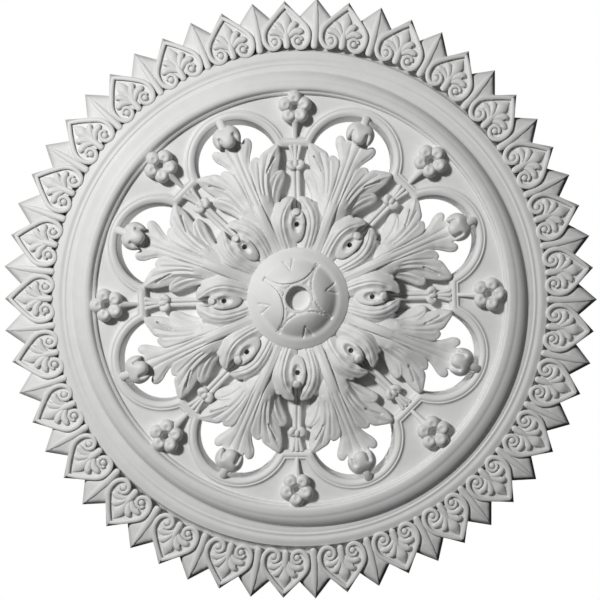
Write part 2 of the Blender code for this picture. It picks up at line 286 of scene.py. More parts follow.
class Link:  # an output socket that sums can be written with
    def __init__(self, graph, socket):
        self.graph, self.socket = graph, socket

    def sum(self, operation, *values):
        return self.graph.node("ShaderNodeMath", {"operation": operation}, dict(enumerate(values)))

    def __add__(self, other): return self.sum("ADD", self, other)
    def __radd__(self, other): return self.sum("ADD", other, self)
    def __sub__(self, other): return self.sum("SUBTRACT", self, other)
    def __rsub__(self, other): return self.sum("SUBTRACT", other, self)
    def __mul__(self, other): return self.sum("MULTIPLY", self, other)
    def __rmul__(self, other): return self.sum("MULTIPLY", other, self)
    def __truediv__(self, other): return self.sum("DIVIDE", self, other)
    def __rtruediv__(self, other): return self.sum("DIVIDE", other, self)
    def cosine(self): return self.sum("COSINE", self)
    def sine(self): return self.sum("SINE", self)


class Graph:
    def __init__(self, tree):
        self.tree = tree

    def node(self, kind, settings=None, inputs=None, output=None):
        made = self.tree.nodes.new(kind)
        for key, value in (settings or {}).items():
            setattr(made, key, value)
        for key, value in (inputs or {}).items():
            socket = made.inputs[key]
            if isinstance(value, Link):
                self.tree.links.new(value.socket, socket)
            else:
                socket.default_value = value
        if not made.outputs:
            return made
        return Link(self, made.outputs[output] if output else made.outputs[0])


def newTree(name, sockets):  # a geometry tree with named inputs, its graph and its input links
    tree = bpy.data.node_groups.new(name, "GeometryNodeTree")
    for label, kind in sockets:
        tree.interface.new_socket(name=label, in_out="INPUT", socket_type="NodeSocket" + kind)
    tree.interface.new_socket(name="Geometry", in_out="OUTPUT", socket_type="NodeSocketGeometry")
    graph = Graph(tree)
    entry = tree.nodes.new("NodeGroupInput")
    return tree, graph, {label: Link(graph, entry.outputs[label]) for label, _ in sockets}


def endTree(graph, geometry, finish):  # realised, so that the mesh stands alone, with its finish
    real = graph.node("GeometryNodeRealizeInstances", None, {"Geometry": geometry})
    done = graph.node("GeometryNodeSetMaterial", None, {"Geometry": real, "Material": finish})
    graph.node("NodeGroupOutput", None, {"Geometry": done})


def grown(name, tree, values, carrier=None):  # runs a tree and keeps its result as a plain mesh
    base = carrier or bpy.data.objects.new(name + "Base", bpy.data.meshes.new(name + "Base"))
    if carrier is None:
        bpy.context.scene.collection.objects.link(base)
    modifier = base.modifiers.new("grow", "NODES")
    modifier.node_group = tree
    for item in tree.interface.items_tree:
        if item.in_out == "INPUT" and item.name in values:
            modifier[item.identifier] = values[item.name]
    base.update_tag()
    graph = bpy.context.evaluated_depsgraph_get()
    mesh = bpy.data.meshes.new_from_object(base.evaluated_get(graph))
    mesh.name = name
    base.modifiers.remove(modifier)
    bpy.data.objects.remove(base)
    made = bpy.data.objects.new(name, mesh)
    bpy.context.scene.collection.objects.link(made)
    return made


def spokeTree():  # one element on every point, turned by the point's own angle
    tree, g, given = newTree("spokes", [("Geometry", "Geometry"), ("Element", "Object"), ("Finish", "Material")])
    element = g.node("GeometryNodeObjectInfo", None, {"Object": given["Element"]}, "Geometry")
    turn = g.node("GeometryNodeInputNamedAttribute", {"data_type": "FLOAT"}, {"Name": "turn"}, "Attribute")
    spin = g.node("ShaderNodeCombineXYZ", None, {"Z": turn})
    laid = g.node("GeometryNodeInstanceOnPoints", None, {
        "Points": given["Geometry"], "Instance": element, "Rotation": spin})
    endTree(g, laid, given["Finish"])
    return tree


def edgeTree():  # one element round the edge, moved in and out where the edge isn't round
    tree, g, given = newTree("edge", [
        ("Element", "Object"), ("Finish", "Material"), ("Count", "Int"), ("First Turn", "Float"),
        ("Edge Turn", "Float"), ("Oval", "Float"), ("Square", "Float")])
    element = g.node("GeometryNodeObjectInfo", None, {"Object": given["Element"]}, "Geometry")
    index = g.node("GeometryNodeInputIndex")
    angle = index * (2 * math.pi / given["Count"]) + given["First Turn"]
    lean = angle - given["Edge Turn"]
    out = (lean * 2).cosine() * given["Oval"] + (lean * 4).cosine() * given["Square"]
    place = g.node("ShaderNodeCombineXYZ", None, {"X": angle.cosine() * out, "Y": angle.sine() * out * -1})
    dots = g.node("GeometryNodePoints", None, {"Count": given["Count"], "Position": place})
    spin = g.node("ShaderNodeCombineXYZ", None, {"Z": math.pi / 2 - angle})
    laid = g.node("GeometryNodeInstanceOnPoints", None, {"Points": dots, "Instance": element, "Rotation": spin})
    endTree(g, laid, given["Finish"])
    return tree


def ringTree():  # a moulding's profile swept round a circle
    tree, g, given = newTree("ring", [
        ("Profile", "Object"), ("Finish", "Material"), ("Steps", "Int"), ("Radius", "Float")])
    circle = g.node("GeometryNodeCurvePrimitiveCircle", {"mode": "RADIUS"},
                    {"Resolution": given["Steps"], "Radius": given["Radius"]}, "Curve")
    flat = g.node("GeometryNodeSetCurveNormal", {"mode": "Z_UP"}, {"Curve": circle})
    profile = g.node("GeometryNodeObjectInfo", None, {"Object": given["Profile"]}, "Geometry")
    line = g.node("GeometryNodeMeshToCurve", None, {"Mesh": profile})
    swept = g.node("GeometryNodeCurveToMesh", None, {"Curve": flat, "Profile Curve": line})
    endTree(g, swept, given["Finish"])
    return tree


# The finish: white moulding, primed, very slightly mottled and pored

whiteFinish = {"colour": (0.76, 0.76, 0.755), "darker": (0.715, 0.715, 0.705), "roughness": 0.50, "pores": 0.10}


def mouldedWhite():
    finish = bpy.data.materials.new("mouldedWhite")
    finish.use_nodes = True
    tree = finish.node_tree
    tree.nodes.clear()
    g = Graph(tree)
    place = g.node("ShaderNodeTexCoord", output="Object")

    def noise(scale, detail):
        return g.node("ShaderNodeTexNoise", None, {"Vector": place, "Scale": scale, "Detail": detail}, "Fac")

    broad, fine, grain = noise(9.0, 3.0), noise(70.0, 4.0), noise(420.0, 3.0)
    shade = g.node("ShaderNodeMapRange", None, {
        "Value": broad * 0.6 + fine * 0.4, "From Min": 0.38, "From Max": 0.62})
    colour = g.node("ShaderNodeMix", {"data_type": "RGBA"}, {
        0: shade, 6: (*whiteFinish["darker"], 1), 7: (*whiteFinish["colour"], 1)})
    colour.socket = colour.socket.node.outputs[2]
    sheen = fine * 0.10 + (whiteFinish["roughness"] - 0.05)
    surface = g.node("ShaderNodeBump", None, {
        "Strength": whiteFinish["pores"], "Distance": 0.0006, "Height": grain * 0.5 + fine}, "Normal")
    coat = g.node("ShaderNodeBsdfPrincipled", None, {
        "Base Color": colour, "Roughness": sheen, "Normal": surface, "Specular IOR Level": 0.35})
    g.node("ShaderNodeOutputMaterial", None, {"Surface": coat})
    return finish


white = mouldedWhite()
spokes, edges, rings = spokeTree(), edgeTree(), ringTree()
pieces = []


def keep(piece):
    piece.data.materials.clear()
    piece.data.materials.append(white)
    pieces.append(piece)
    print("made", piece.name, len(piece.data.polygons), "faces")
    return piece


def onSpokes(name, master, angles):  # the master stands at a spoke pointing up the drawing
    dots = bpy.data.meshes.new(name + "Dots")
    x, y = rose["shift"][0] * unit, -rose["shift"][1] * unit
    dots.from_pydata([(x, y, 0)] * len(angles), [], [])
    turn = dots.attributes.new("turn", "FLOAT", "POINT")
    turn.data.foreach_set("value", [math.radians(90 - a) for a in angles])
    carrier = bpy.data.objects.new(name + "Dots", dots)
    bpy.context.scene.collection.objects.link(carrier)
    made = grown(name, spokes, {"Element": master, "Finish": white}, carrier)
    return keep(made)


# Main ring

ringSizes = {
    "base": 229.0, "steps": 360,
    "warp": (205.5, 211.5, 215.8, 228.5, 233.5), "crest": (1.3, 2.4, 160.0), "ledge": (2.2, 1.0, 180.0),
    "foot": (-0.6, 2.8, 315.0),
    "profile": [
        (203.4, 31.0), (204.3, 31.3), (205.2, 35.4), (206.2, 36.9), (207.1, 37.3), (208.2, 40.9), (209.1, 42.6),
        (210.2, 43.3), (211.5, 43.5), (213.0, 43.25), (214.4, 42.7), (215.4, 42.0), (216.3, 41.0), (217.5, 40.6),
        (219.3, 40.0), (221.2, 39.0), (223.0, 37.6), (224.8, 35.7), (226.3, 33.2), (227.5, 30.5), (228.3, 28.2),
        (229.0, 27.1), (230.5, 26.95), (232.8, 26.9), (233.6, 26.6), (234.3, 26.9), (235.0, 27.3), (235.8, 27.25),
        (236.5, 26.8), (237.2, 26.4), (238.2, 26.4), (239.6, 26.9), (241.0, 27.25), (242.6, 27.0), (244.2, 26.3),
        (245.8, 25.5), (247.4, 24.7), (248.3, 21.0), (248.9, 14.0), (251.0, 8.5), (253.4, 6.8), (265.0, 6.2), (265.0, 0.0),
        (205.2, 0.0), (204.0, 0.6)],
}


def outOfRound(across, angle):  # the crest sits off centre, and the slope outside it ends in an oval
    s = ringSizes
    crest = s["crest"][0] + s["crest"][1] * math.cos(angle - math.radians(s["crest"][2]))
    ledge = s["ledge"][0] + s["ledge"][1] * math.cos(angle - math.radians(s["ledge"][2]))
    foot = s["foot"][0] + s["foot"][1] * math.cos(2 * angle - 2 * math.radians(s["foot"][2]))
    return float(np.interp(across, s["warp"], (0.0, crest, ledge, foot, 0.0)))


def mainRing():
    flat = np.array([(r * scaleAt(z * mm) * unit, z * 0.001) for r, z in ringSizes["profile"]])
    base = ringSizes["base"] * unit
    count = len(flat)
    mesh = bpy.data.meshes.new("ringProfile")
    mesh.from_pydata([(r - base, z, 0) for r, z in flat], [(i, (i + 1) % count) for i in range(count)], [])
    profile = bpy.data.objects.new("ringProfile", mesh)
    bpy.context.scene.collection.objects.link(profile)
    made = grown("mainRing", rings, {"Profile": profile, "Finish": white, "Steps": ringSizes["steps"],
                                     "Radius": base})
    bpy.data.objects.remove(profile)
    bm = bmesh.new()
    bm.from_mesh(made.data)
    bmesh.ops.remove_doubles(bm, verts=bm.verts, dist=1e-6)
    for v in bm.verts:
        true = math.hypot(v.co.x, v.co.y)
        across = true / unit / scaleAt(abs(v.co.z) / unit)
        move = outOfRound(across, math.atan2(-v.co.y, v.co.x)) * unit / true
        v.co.x, v.co.y = v.co.x * (1 + move), v.co.y * (1 + move)
    bmesh.ops.recalc_face_normals(bm, faces=bm.faces)
    for face in bm.faces:
        face.smooth = True
    bm.to_mesh(made.data)
    bm.free()
    made.data.set_sharp_from_angle(angle=math.radians(38))
    return keep(made)


# Plate with its eight arched openings and their moulded rim

plateSizes = {
    "archRadius": 42.3, "archCentre": 149.0, "barInner": 151.5, "archSteps": 44, "barSteps": 8,
    "rim": [(-0.1, 31.6), (0.2, 33.2), (0.9, 34.3), (2.2, 35.3), (3.8, 36.3), (5.3, 36.6), (6.2, 36.2), (6.8, 35.3),
            (7.4, 34.9), (8.0, 35.3), (8.7, 35.2), (9.3, 34.0), (9.9, 32.2), (10.7, 31.2)],
    "wallFoot": -1.2, "plateEdge": 203.6,
}


def openingLine(offset):  # round the eight arches and along the bars between them, anticlockwise
    s = plateSizes
    radius, bar = s["archRadius"] + offset, s["barInner"] + offset
    line = []
    for k, arch in enumerate(rose["leafSpokes"]):
        ends = []
        for rod in (rose["rodSpokes"][k], rose["rodSpokes"][(k + 1) % 8]):
            apart = math.radians((rod - arch + 180) % 360 - 180)
            rise = bar - s["archCentre"] * math.cos(apart)
            half = math.copysign(math.sqrt(radius ** 2 - rise ** 2), apart)
            ends.append((-rise * math.sin(apart) - half * math.cos(apart),
                         rise * math.cos(apart) - half * math.sin(apart)))
        first, last = [math.atan2(y, x) % (2 * math.pi) for x, y in ends]
        first -= 2 * math.pi if first > math.pi else 0
        a = np.linspace(first, last, s["archSteps"])
        x, y = radius * np.cos(a), s["archCentre"] + radius * np.sin(a)
        turn = math.radians(arch - 90)
        line.append(np.column_stack([x * math.cos(turn) - y * math.sin(turn),
                                     x * math.sin(turn) + y * math.cos(turn)]))
    whole = []
    for k, chain in enumerate(line):
        whole.append(chain)
        t = np.linspace(0, 1, s["barSteps"] + 1)[1:-1, None]
        whole.append(chain[-1] + (line[(k + 1) % 8][0] - chain[-1]) * t)
    return np.vstack(whole)


def piercedPlate():
    s = plateSizes
    shift = np.array(rose["shift"])

    def row(xy, z, seen=None):  # a row that lines up with another height, as seen from below
        level = np.full(len(xy), z * mm)
        near = scaleAt((z if seen is None else seen) * mm) / scaleAt(z * mm)
        return np.column_stack([xy * near, level])

    def moved(rows):  # the pattern's shift is a true distance, the same at every height
        return np.column_stack([rows[:, :2] + shift / scaleAt(rows[:, 2])[:, None], rows[:, 2]])

    rows = [moved(row(openingLine(s["wallFoot"]), 0.0, 33.5))]
    rows += [moved(row(openingLine(offset), z)) for offset, z in s["rim"]]
    outer = rows[-1]
    angle = np.arctan2(outer[:, 1], outer[:, 0])

    def circle(r, z):
        return np.column_stack([r * np.cos(angle), r * np.sin(angle), np.full(len(angle), z * mm)])

    edge = circle(s["plateEdge"], rose["plate"])
    for t in (0.12, 0.35, 0.65, 0.88):
        between = outer + (edge - outer) * t
        between[:, 2] = rose["plate"] * mm
        rows.append(between)
    rows += [edge, circle(206.5, 30.6), circle(206.5, 0.7), circle(203.9, 0.0)]
    return keep(shell("piercedPlate", [loft(rows, ends=False, loop=True)]))


# The lower ground behind the leaves, cut back behind each of them

groundSizes = {
    "height": 25.0, "taper": 0.955, "bar": [(20.1, 150.7), (17.0, 153.6), (-17.0, 153.6), (-20.1, 150.7)],
    "leaf": [(24.0, 141.0), (14.0, 134.5), (5.0, 131.5), (-5.0, 131.5), (-14.0, 134.5), (-24.0, 141.0)],
}


def leafGround():
    s, ring = groundSizes, []
    for pair in zip(rose["rodSpokes"], rose["leafSpokes"]):
        for spoke, edge in zip(pair, (s["bar"], s["leaf"])):
            turn = math.radians(spoke - 90)
            for x, y in edge:
                ring.append((x * math.cos(turn) - y * math.sin(turn) + rose["shift"][0],
                             x * math.sin(turn) + y * math.cos(turn) + rose["shift"][1]))
    ring = np.array(ring)
    high = s["height"] * mm
    near = scaleAt(high) / scaleAt(0.0)
    rows = [np.column_stack([ring * k, np.full(len(ring), z)]) for k, z in (
        (0.5, high), (1.0, high), (near, 0.8 * mm), (near * s["taper"], 0.0), (0.3, 0.0))]
    return keep(shell("leafGround", [loft(rows)]))


# Big leaves

leafSizes = {
    "spine": [
        [(0.0, 178.0), (7.0, 177.0), (11.0, 172.0), (11.5, 164.2)],
        [(11.5, 164.2), (13.6, 166.3), (16.8, 167.6), (20.0, 166.0), (21.1, 162.0), (19.2, 156.5), (15.2, 151.0),
         (11.8, 145.5), (9.6, 139.0), (7.8, 132.0), (6.3, 122.0), (5.4, 108.0), (5.0, 90.0), (5.2, 70.0),
         (5.8, 48.0)],
        [(5.8, 48.0), (0.0, 48.0)]],
    "spineKnots": [
        (0, 48, 55.5), (0, 56, 56.6), (0, 66, 59.6), (0, 78, 63.0), (0, 87, 64.2), (0, 96, 63.2), (0, 106, 60.0),
        (0, 118, 55.5), (0, 130, 51.2), (0, 142, 46.2), (0, 150, 42.8), (0, 158, 40.4), (0, 168, 40.2),
        (0, 178, 40.0), (10, 174, 39.0), (5, 60, 57.6), (5, 87, 63.8), (5, 118, 55.4), (6, 138, 46.8),
        (9, 150, 41.8), (13, 157, 39.8), (17, 162, 38.8), (20, 163, 37.6),
        (17, 154, 38.0), (11, 147, 40.6), (8, 163, 40.0)],
    "spineLines": [
        ([(0.0, 48), (0.0, 100), (0.0, 150), (0.0, 166)], 0.7, 1.6),
        ([(2.8, 102), (2.8, 118), (2.6, 135), (3.2, 150), (4.6, 163)], -1.0, 1.0),
        ([(4.6, 106), (4.6, 125), (6.4, 140), (10.2, 151), (14.4, 158.5), (17.0, 164.5)], 0.6, 1.3),
        ([(6.2, 134), (9.2, 145), (13.6, 152.5), (17.4, 158.0)], -0.6, 0.9)],
    "upper": [
        [(4.6, 66.0), (4.8, 90.0), (5.2, 105.0), (6.2, 118.0), (7.0, 128.0), (7.6, 134.0), (8.4, 139.5)],
        [(8.4, 139.5), (10.6, 143.2), (13.4, 145.2), (16.6, 146.2), (19.6, 145.6), (21.2, 143.2)],
        [(21.2, 143.2), (23.6, 145.8), (27.0, 147.5), (31.6, 148.4), (36.0, 149.4), (40.0, 150.0), (43.0, 149.6),
         (44.8, 147.2)],
        [(44.8, 147.2), (43.4, 141.0), (40.4, 134.5), (36.6, 128.6), (33.6, 124.2), (30.0, 121.6)],
        [(30.0, 121.6), (27.0, 120.6), (24.0, 117.6), (21.0, 112.6), (18.8, 107.0), (16.6, 99.0), (14.2, 88.0),
         (11.6, 76.0), (9.4, 64.0), (4.6, 62.0), (4.6, 66.0)]],
    "upperKnots": [
        (5, 66, 54.5), (5, 90, 60.0), (5, 105, 59.6), (6, 118, 56.4), (8, 130, 51.4), (12, 138, 47.0),
        (15, 145.4, 43.4), (10, 104, 58.6), (12, 120, 54.4), (16, 120, 52.4), (16, 132, 48.6), (20, 119, 49.2),
        (24, 130, 46.8), (22, 142, 44.6), (28, 146, 43.2), (30, 138, 45.4), (36, 146, 42.8), (44, 147.5, 39.8),
        (40, 138, 41.0), (34, 127, 41.4), (29.5, 122, 43.0), (24, 119, 46.4), (12, 95, 57.0), (16, 100, 52.6),
        (18.4, 107, 49.4), (10, 70, 53.5), (12, 82, 55.0)],
    "upperLines": [
        ([(13.4, 101), (17.6, 115), (22.4, 126), (29.2, 136), (37.0, 143.4), (43.0, 147.2)], 1.7, 1.5),
        ([(16.0, 102), (20.2, 114), (25.2, 124.4), (31.6, 133.2), (38.6, 140.2)], -0.9, 1.3),
        ([(22.6, 127.6), (28.5, 133.2), (35.2, 138.2)], -5.0, 0.75),
        ([(8.2, 110), (9.8, 119), (13.0, 130), (16.6, 140)], 0.6, 1.0),
        ([(9.6, 110), (11.4, 118.6), (15.0, 129), (18.9, 139.4)], -0.9, 0.8),
        ([(11.2, 109), (13.1, 117.6), (17.2, 128.4), (22.0, 137.4), (26.0, 144.6)], 0.7, 1.0),
        ([(12.6, 107), (14.7, 115.6), (19.3, 126.4), (25.0, 135.6), (31.0, 143.6)], -1.1, 0.8),
        ([(27.5, 129.6), (33.0, 135.2), (38.4, 139.8), (42.6, 144.6)], 0.9, 1.2)],
    "lower": [
        [(9.0, 74.0), (11.0, 90.0), (14.0, 106.0), (19.0, 116.4), (24.0, 121.0), (28.0, 123.0), (32.0, 124.6),
         (35.8, 124.6), (38.6, 122.8), (39.4, 119.6), (37.6, 115.2), (34.6, 111.4), (31.0, 107.8), (27.4, 104.0),
         (24.0, 99.6), (20.8, 94.6), (17.8, 87.6), (15.4, 76.0)],
        [(15.4, 76.0), (9.0, 74.0)]],
    "lowerKnots": [
        (10, 76, 56.0), (14, 78, 53.0), (15, 90, 50.6), (17, 96, 48.4), (20, 104, 46.4), (16, 108, 48.0),
        (24, 111, 44.8), (28, 117, 44.2), (33, 121.4, 42.4), (38, 121, 39.8), (35.6, 114.4, 39.2),
        (31, 109, 39.0), (26.4, 103.8, 40.0), (20.6, 96, 43.4)],
    "lowerLines": [
        ([(15.6, 94), (19.0, 103.6), (24.4, 112), (30.0, 118), (36.2, 121.8)], 0.9, 1.4),
        ([(17.0, 93.6), (20.8, 102.4), (26.4, 109.8), (32.4, 115.6)], -0.9, 1.0),
        ([(17.4, 103.6), (22.2, 112.2), (27.4, 118.2), (31.8, 122.2)], -0.7, 0.9),
        ([(18.8, 94.2), (22.4, 101.2), (27.6, 107.0), (31.6, 111.4)], 0.5, 0.9)],
    "curl": [
        [(0.0, 187.6), (6.0, 186.9), (10.6, 184.2), (13.7, 179.6), (14.3, 174.4), (13.2, 169.8), (11.4, 166.6)],
        [(11.4, 166.6), (9.3, 167.6), (7.6, 170.2)], [(7.6, 170.2), (6.2, 167.6), (3.8, 165.6), (0.0, 164.6)]],
    "curlKnots": [
        (0, 172, 58.6), (0, 167, 56.4), (0, 163.5, 52.6), (0, 178, 56.8), (0, 183, 51.8), (0, 187.5, 43.5),
        (5, 167, 54.4), (5, 173, 56.6), (8, 174, 54.4), (8, 179, 54.4), (11, 173, 52.0), (11.4, 167.5, 49.0),
        (13.8, 175, 46.4), (12, 181, 47.0), (7, 184.5, 48.0)],
    "curlLines": [([(7.9, 169.8), (7.9, 173.0), (7.4, 176.4)], -5.0, 1.5),
                  ([(3.8, 184.4), (9.4, 181.0), (12.2, 175.6)], 0.5, 1.4)],
    "stub": [(0.0, 184, 44, 4.3), (0.0, 189, 42.4, 3.9), (0.0, 195, 35.4, 4.4)],
}


def bothHalves(runs):  # the outline's right half, tip to foot, closed by its mirror
    other = [[(-x, y) for x, y in run][::-1] for run in runs]
    return runs + other[::-1]


def mirroredLines(lines):
    return [(side, tall, wide) for line, tall, wide in lines
            for side in ([line] if line[0][0] == line[-1][0] == 0 else [line, [(-x, y) for x, y in line]])]


def mirroredKnots(knots):
    return knots + [(-x, y, z) for x, y, z in knots if x]


def bigLeafMaster():
    s = leafSizes
    made = []
    for name, floor in (("lower", 20.0), ("upper", 21.0)):
        side = carved(s[name], s[name + "Knots"], s[name + "Lines"], floor=floor)
        made += [side, flipped(side)]
    for name, floor, soft in (("spine", 22.0, (1.8, 1.8)), ("curl", 33.0, (3.0, 4.0))):
        made.append(carved(bothHalves(s[name]), mirroredKnots(s[name + "Knots"]), mirroredLines(s[name + "Lines"]),
                           floor=floor, soft=soft))
    made.append(blade(s["stub"], 12, 14, crown=0.6, keel=0.8))
    return shell("bigLeaf", made)


# Small leaves in front of the rods, with their eyelets

smallSizes = {
    "half": [
        [(2.6, 99.6), (3.8, 102.0), (7.0, 102.2), (11.0, 101.2), (14.8, 99.0)],
        [(14.8, 99.0), (16.2, 96.6), (18.8, 97.2), (21.6, 95.2)],
        [(21.6, 95.2), (22.6, 92.4), (25.4, 91.4), (27.8, 87.4), (27.6, 82.0), (25.4, 75.0), (22.0, 66.0),
         (18.6, 57.0), (15.6, 47.0)],
        [(15.6, 47.0), (0.3, 47.0)],
        [(0.3, 47.0), (0.3, 58.0), (2.4, 66.0), (3.4, 75.0), (4.2, 84.0), (5.0, 92.0), (2.6, 99.6)]],
    "knots": [
        (3.4, 100.4, 55.6), (10, 100.6, 55.8), (15, 98, 55.6), (21, 94.4, 54.6), (27, 87, 53.4), (7.6, 93, 61.6),
        (12, 92, 62.4), (18, 90, 60.8), (24, 84, 58.4), (11, 84, 65.0), (15, 80, 66.8), (20, 76, 65.2),
        (24, 75, 61.4), (12, 70, 65.0), (16, 66, 64.0), (20, 63, 61.2), (8, 58, 58.8), (12, 56, 59.8),
        (16, 54, 58.2), (6, 48, 55.4), (14, 48, 55.6), (2, 50, 54.5), (4, 60, 55.0), (6, 70, 58.5), (8, 80, 60.5),
        (7, 88, 59.5)],
    "lines": [
        ([(4.6, 99.4), (9.6, 92.4), (13.4, 84), (14.6, 74), (12.6, 62), (9.0, 50)], -1.3, 1.0),
        ([(12.0, 98.4), (16.0, 91.6), (18.8, 84), (19.2, 74), (16.6, 62), (12.4, 50)], -0.9, 0.9),
        ([(19.6, 93.6), (22.6, 86), (23.0, 77), (20.2, 65), (15.4, 51)], -0.9, 0.9),
        ([(3.6, 100.6), (8.0, 93.4), (11.8, 84), (12.9, 74), (10.6, 62), (7.0, 51)], 0.6, 1.1),
        ([(8.6, 100.0), (12.9, 92.4), (16.2, 84), (16.9, 74), (14.6, 62), (10.8, 50)], 0.4, 1.4),
        ([(16.8, 95.6), (19.8, 89), (21.1, 81), (19.9, 69), (15.6, 55)], 0.3, 1.3)],
    "eyelet": [
        [(0.0, 90.4), (3.2, 89.4), (6.0, 85.8), (7.9, 79.6), (8.2, 72.0), (6.8, 64.4), (4.1, 58.8), (0.0, 56.0)]],
    "hole": (0.0, 74.2), "eyeletFoot": 38.0,
}


def smallLeafMaster():
    s = smallSizes
    side = carved(s["half"], s["knots"], s["lines"], floor=19.5, soft=(1.4, 1.4))
    made = [side, flipped(side)]
    loop = outlineOf(bothHalves(s["eyelet"]), 0.8)

    def height(points):
        d = reachTo(points, loop)
        x, y = points.T
        bowl = np.hypot(x / 1.0, (y - s["hole"][1]) / 1.75)
        top = np.interp(y, [55, 62, 75, 84, 90], [58.0, 62.4, 68.6, 67.6, 63.6])
        rim = 1.2 * np.sqrt(np.clip(d / 2.2, 0, 1)) - 1.2
        z = top + rim - 6.5 * step(5.6, 1.9, bowl) - 19.0 * step(2.6, 1.9, np.hypot(x, y - s["hole"][1]))
        curl = np.hypot(x, y - 86.4)
        return z + 2.4 * step(4.6, 1.8, curl) - 1.3 * step(1.5, 0.6, np.abs(curl - 4.8))

    made.append(patch(loop, height, 0.75, s["eyeletFoot"]))
    return shell("smallLeaf", made)


# Reeded rods with a knotted bead, and their foot on the bar

rodSizes = {
    "reeds": [[(2.3, 84, 33.5, 2.3), (2.3, 106, 33.5, 2.3), (2.3, 131, 34, 2.4)]],
    "flare": [[(1.7, 138, 34.5, 1.7), (3.0, 145, 34, 1.9), (5.2, 153.5, 34, 2.3)]],
    "middle": [(0.0, 137, 34.5, 1.5), (0.0, 145, 35, 1.9), (0.0, 153.5, 35, 2.3)],
    "bead": [(3.3, 137.2, 36, 2.2), (6.3, 134.8, 37.5, 3.2), (3.5, 131.2, 38, 3.4), (0.8, 133.2, 38.5, 2.4)],
    "knot": (0.0, 134.6, 37.0, 3.0, 4.6, 3.6),
}


def rodMaster():
    s = rodSizes
    made = [blade(path, 16, 12, crown=0.95, keel=3.5, tip=0.4) for path in mirrored(s["reeds"])]
    made += [blade(path, 12, 12, crown=0.95, keel=3.5, tip=0.4) for path in mirrored(s["flare"])]
    made.append(blade(s["middle"], 12, 12, crown=0.95, keel=3.5, tip=0.4))
    made += [blade(path, 16, 12, crown=0.9, keel=1.2) for path in mirrored([s["bead"]])]
    made.append(knob(*s["knot"], rings=10, around=18))
    return shell("rod", made)


# Five-petalled flowers on their stems

flowerSizes = {"centre": 191.2, "reach": 9.9, "petal": 7.4, "foot": 24.0, "pit": 36.0,
               "stem": [(0.0, 158.0, 33, 1.9), (0.0, 168.0, 37, 2.4), (0.0, 176.0, 40, 3.4), (0.0, 182.0, 43, 4.6)]}


def flowerMaster():
    s = flowerSizes
    made = [blade(s["stem"], 12, 12, crown=0.7, keel=3.0)]
    for k in range(5):
        a = math.radians(90 + 72 * k)
        out, along = np.array([math.cos(a), math.sin(a)]), np.array([-math.sin(a), math.cos(a)])
        middle = np.array([0.0, s["centre"]]) + out * s["reach"]
        t = np.linspace(0, 2 * math.pi, 30, endpoint=False)
        loop = middle + np.outer(np.cos(t) * s["petal"], out) + np.outer(np.sin(t) * s["petal"] * 1.02, along)

        def height(points):
            away = points - middle
            u, v = away @ out / s["petal"], away @ along / s["petal"]
            dome = np.sqrt(np.clip(1.02 - u ** 2 - v ** 2, 0, 1))
            cup = np.exp(-(((u + 0.15) / 0.40) ** 2 + (v / 0.36) ** 2))
            ripple = np.exp(-((np.hypot(u, v) - 0.80) / 0.08) ** 2)
            pit = step(6.2, 2.6, np.hypot(*(points - (0.0, s["centre"])).T))
            z = 40.5 + 10.5 * dome - 2.6 * cup - 1.0 * ripple * step(-0.2, 0.2, u)
            return z + (s["pit"] - z) * pit

        made.append(patch(loop, height, 0.95, s["foot"]))
    return shell("flower", made)


# Boss: a dome with four round lobes, a dished star between them and a sunk well

bossSizes = {
    "edge": 51.8, "floor": 20.0, "spacing": 1.05,
    "dome": [(0, 84.0), (15, 84.0), (20, 83.0), (26, 79.5), (32, 73.4), (37, 66.4), (38.5, 64.9), (40, 64.2),
             (42, 63.6), (43.5, 62.8), (45, 61.7), (47, 60.0), (49, 58.3), (50.4, 56.9), (51.2, 55.0),
             (51.8, 50.0)],
    "turns": (105.0, 15.0, -75.0, -165.0), "reach": 49.0, "arm": 1.15, "rim": 40.8,
    "starDrop": [(13, 2.6), (24, 3.6), (34, 4.2), (39, 3.0)], "well": 12.4, "wellLip": 15.6, "wellFloor": 67.5,
}


